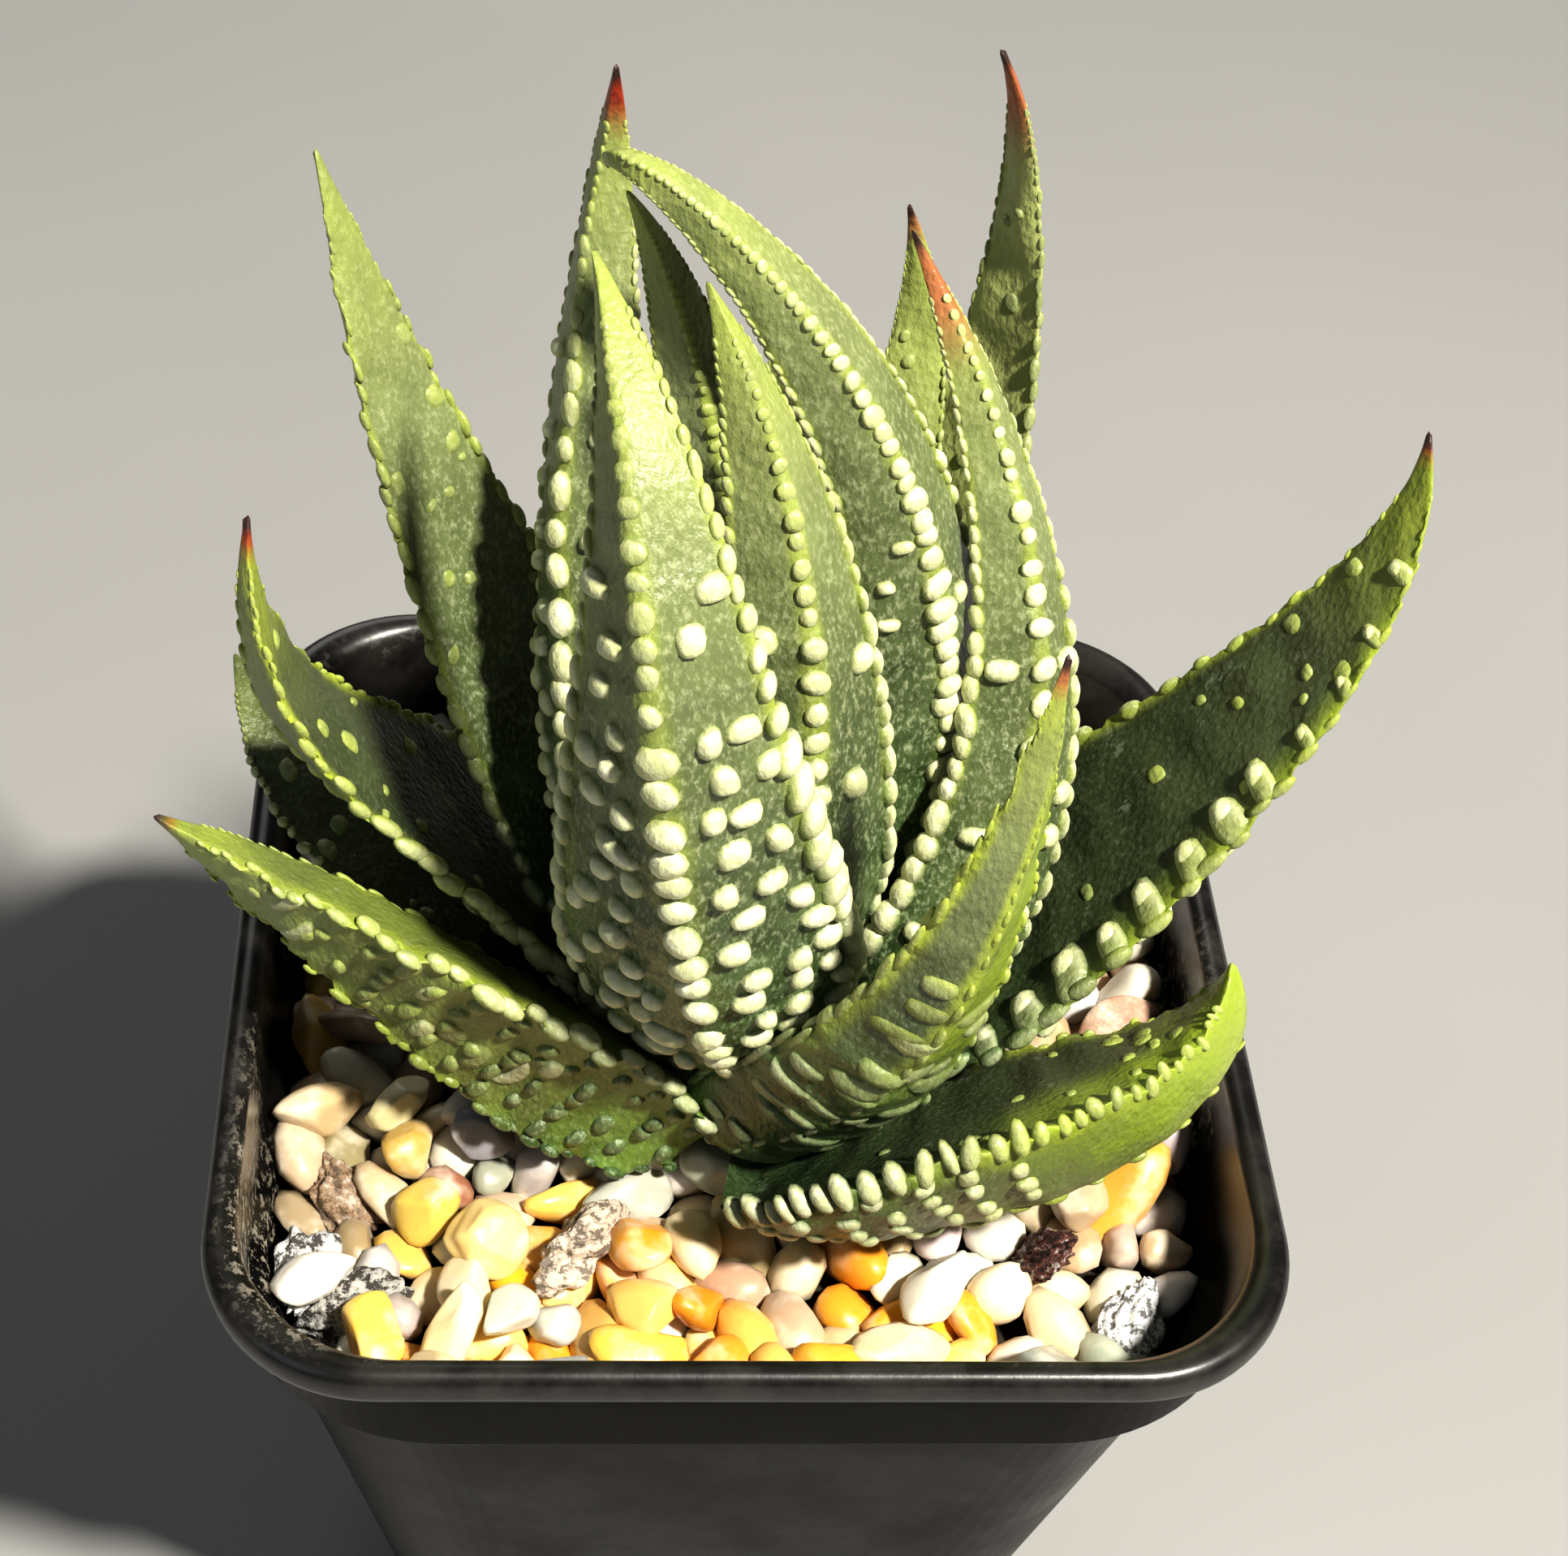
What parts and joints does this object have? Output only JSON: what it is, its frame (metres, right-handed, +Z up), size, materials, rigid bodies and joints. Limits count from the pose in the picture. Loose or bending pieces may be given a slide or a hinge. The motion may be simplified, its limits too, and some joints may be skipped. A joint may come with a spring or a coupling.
{
  "type": "potted haworthia",
  "caption": "Small succulent with a rosette of thick pointed leaves, edged and dotted with pale bumps, in a square black plastic pot topped with gravel.",
  "frame": {"origin": "middle of the pot's underside", "axes": "+Z up along the pot, -Y towards the pot's front, +X to the right as seen from the front"},
  "size_m": [0.0877, 0.08, 0.15],
  "materials": {
    "pot_plastic": "black moulded plastic, satin, dusty inside the rim",
    "soil": null,
    "gravel": null,
    "stem": null,
    "leaf": null
  },
  "bodies": {
    "root": {"pot": "pot_plastic", "soil": "soil", "gravel": "gravel", "stem": "stem", "leaf_front_left": "leaf", "leaf_front_sweep": "leaf", "leaf_front_right": "leaf", "leaf_heart_front": "leaf", "leaf_heart_inner": "leaf", "leaf_heart_back": "leaf", "leaf_heart_tip": "leaf", "leaf_arching": "leaf", "leaf_tall_left": "leaf", "leaf_tall_far_left": "leaf", "leaf_tall_right": "leaf", "leaf_tall_right_inner": "leaf", "leaf_right_upright": "leaf", "leaf_wide_right": "leaf", "leaf_left_mid": "leaf", "leaf_left_low": "leaf", "leaf_left_small": "leaf", "leaf_right_low": "leaf", "leaf_back_right": "leaf", "leaf_back_mid": "leaf", "leaf_back_left": "leaf", "leaf_back_low": "leaf"}
  },
  "joints": []
}
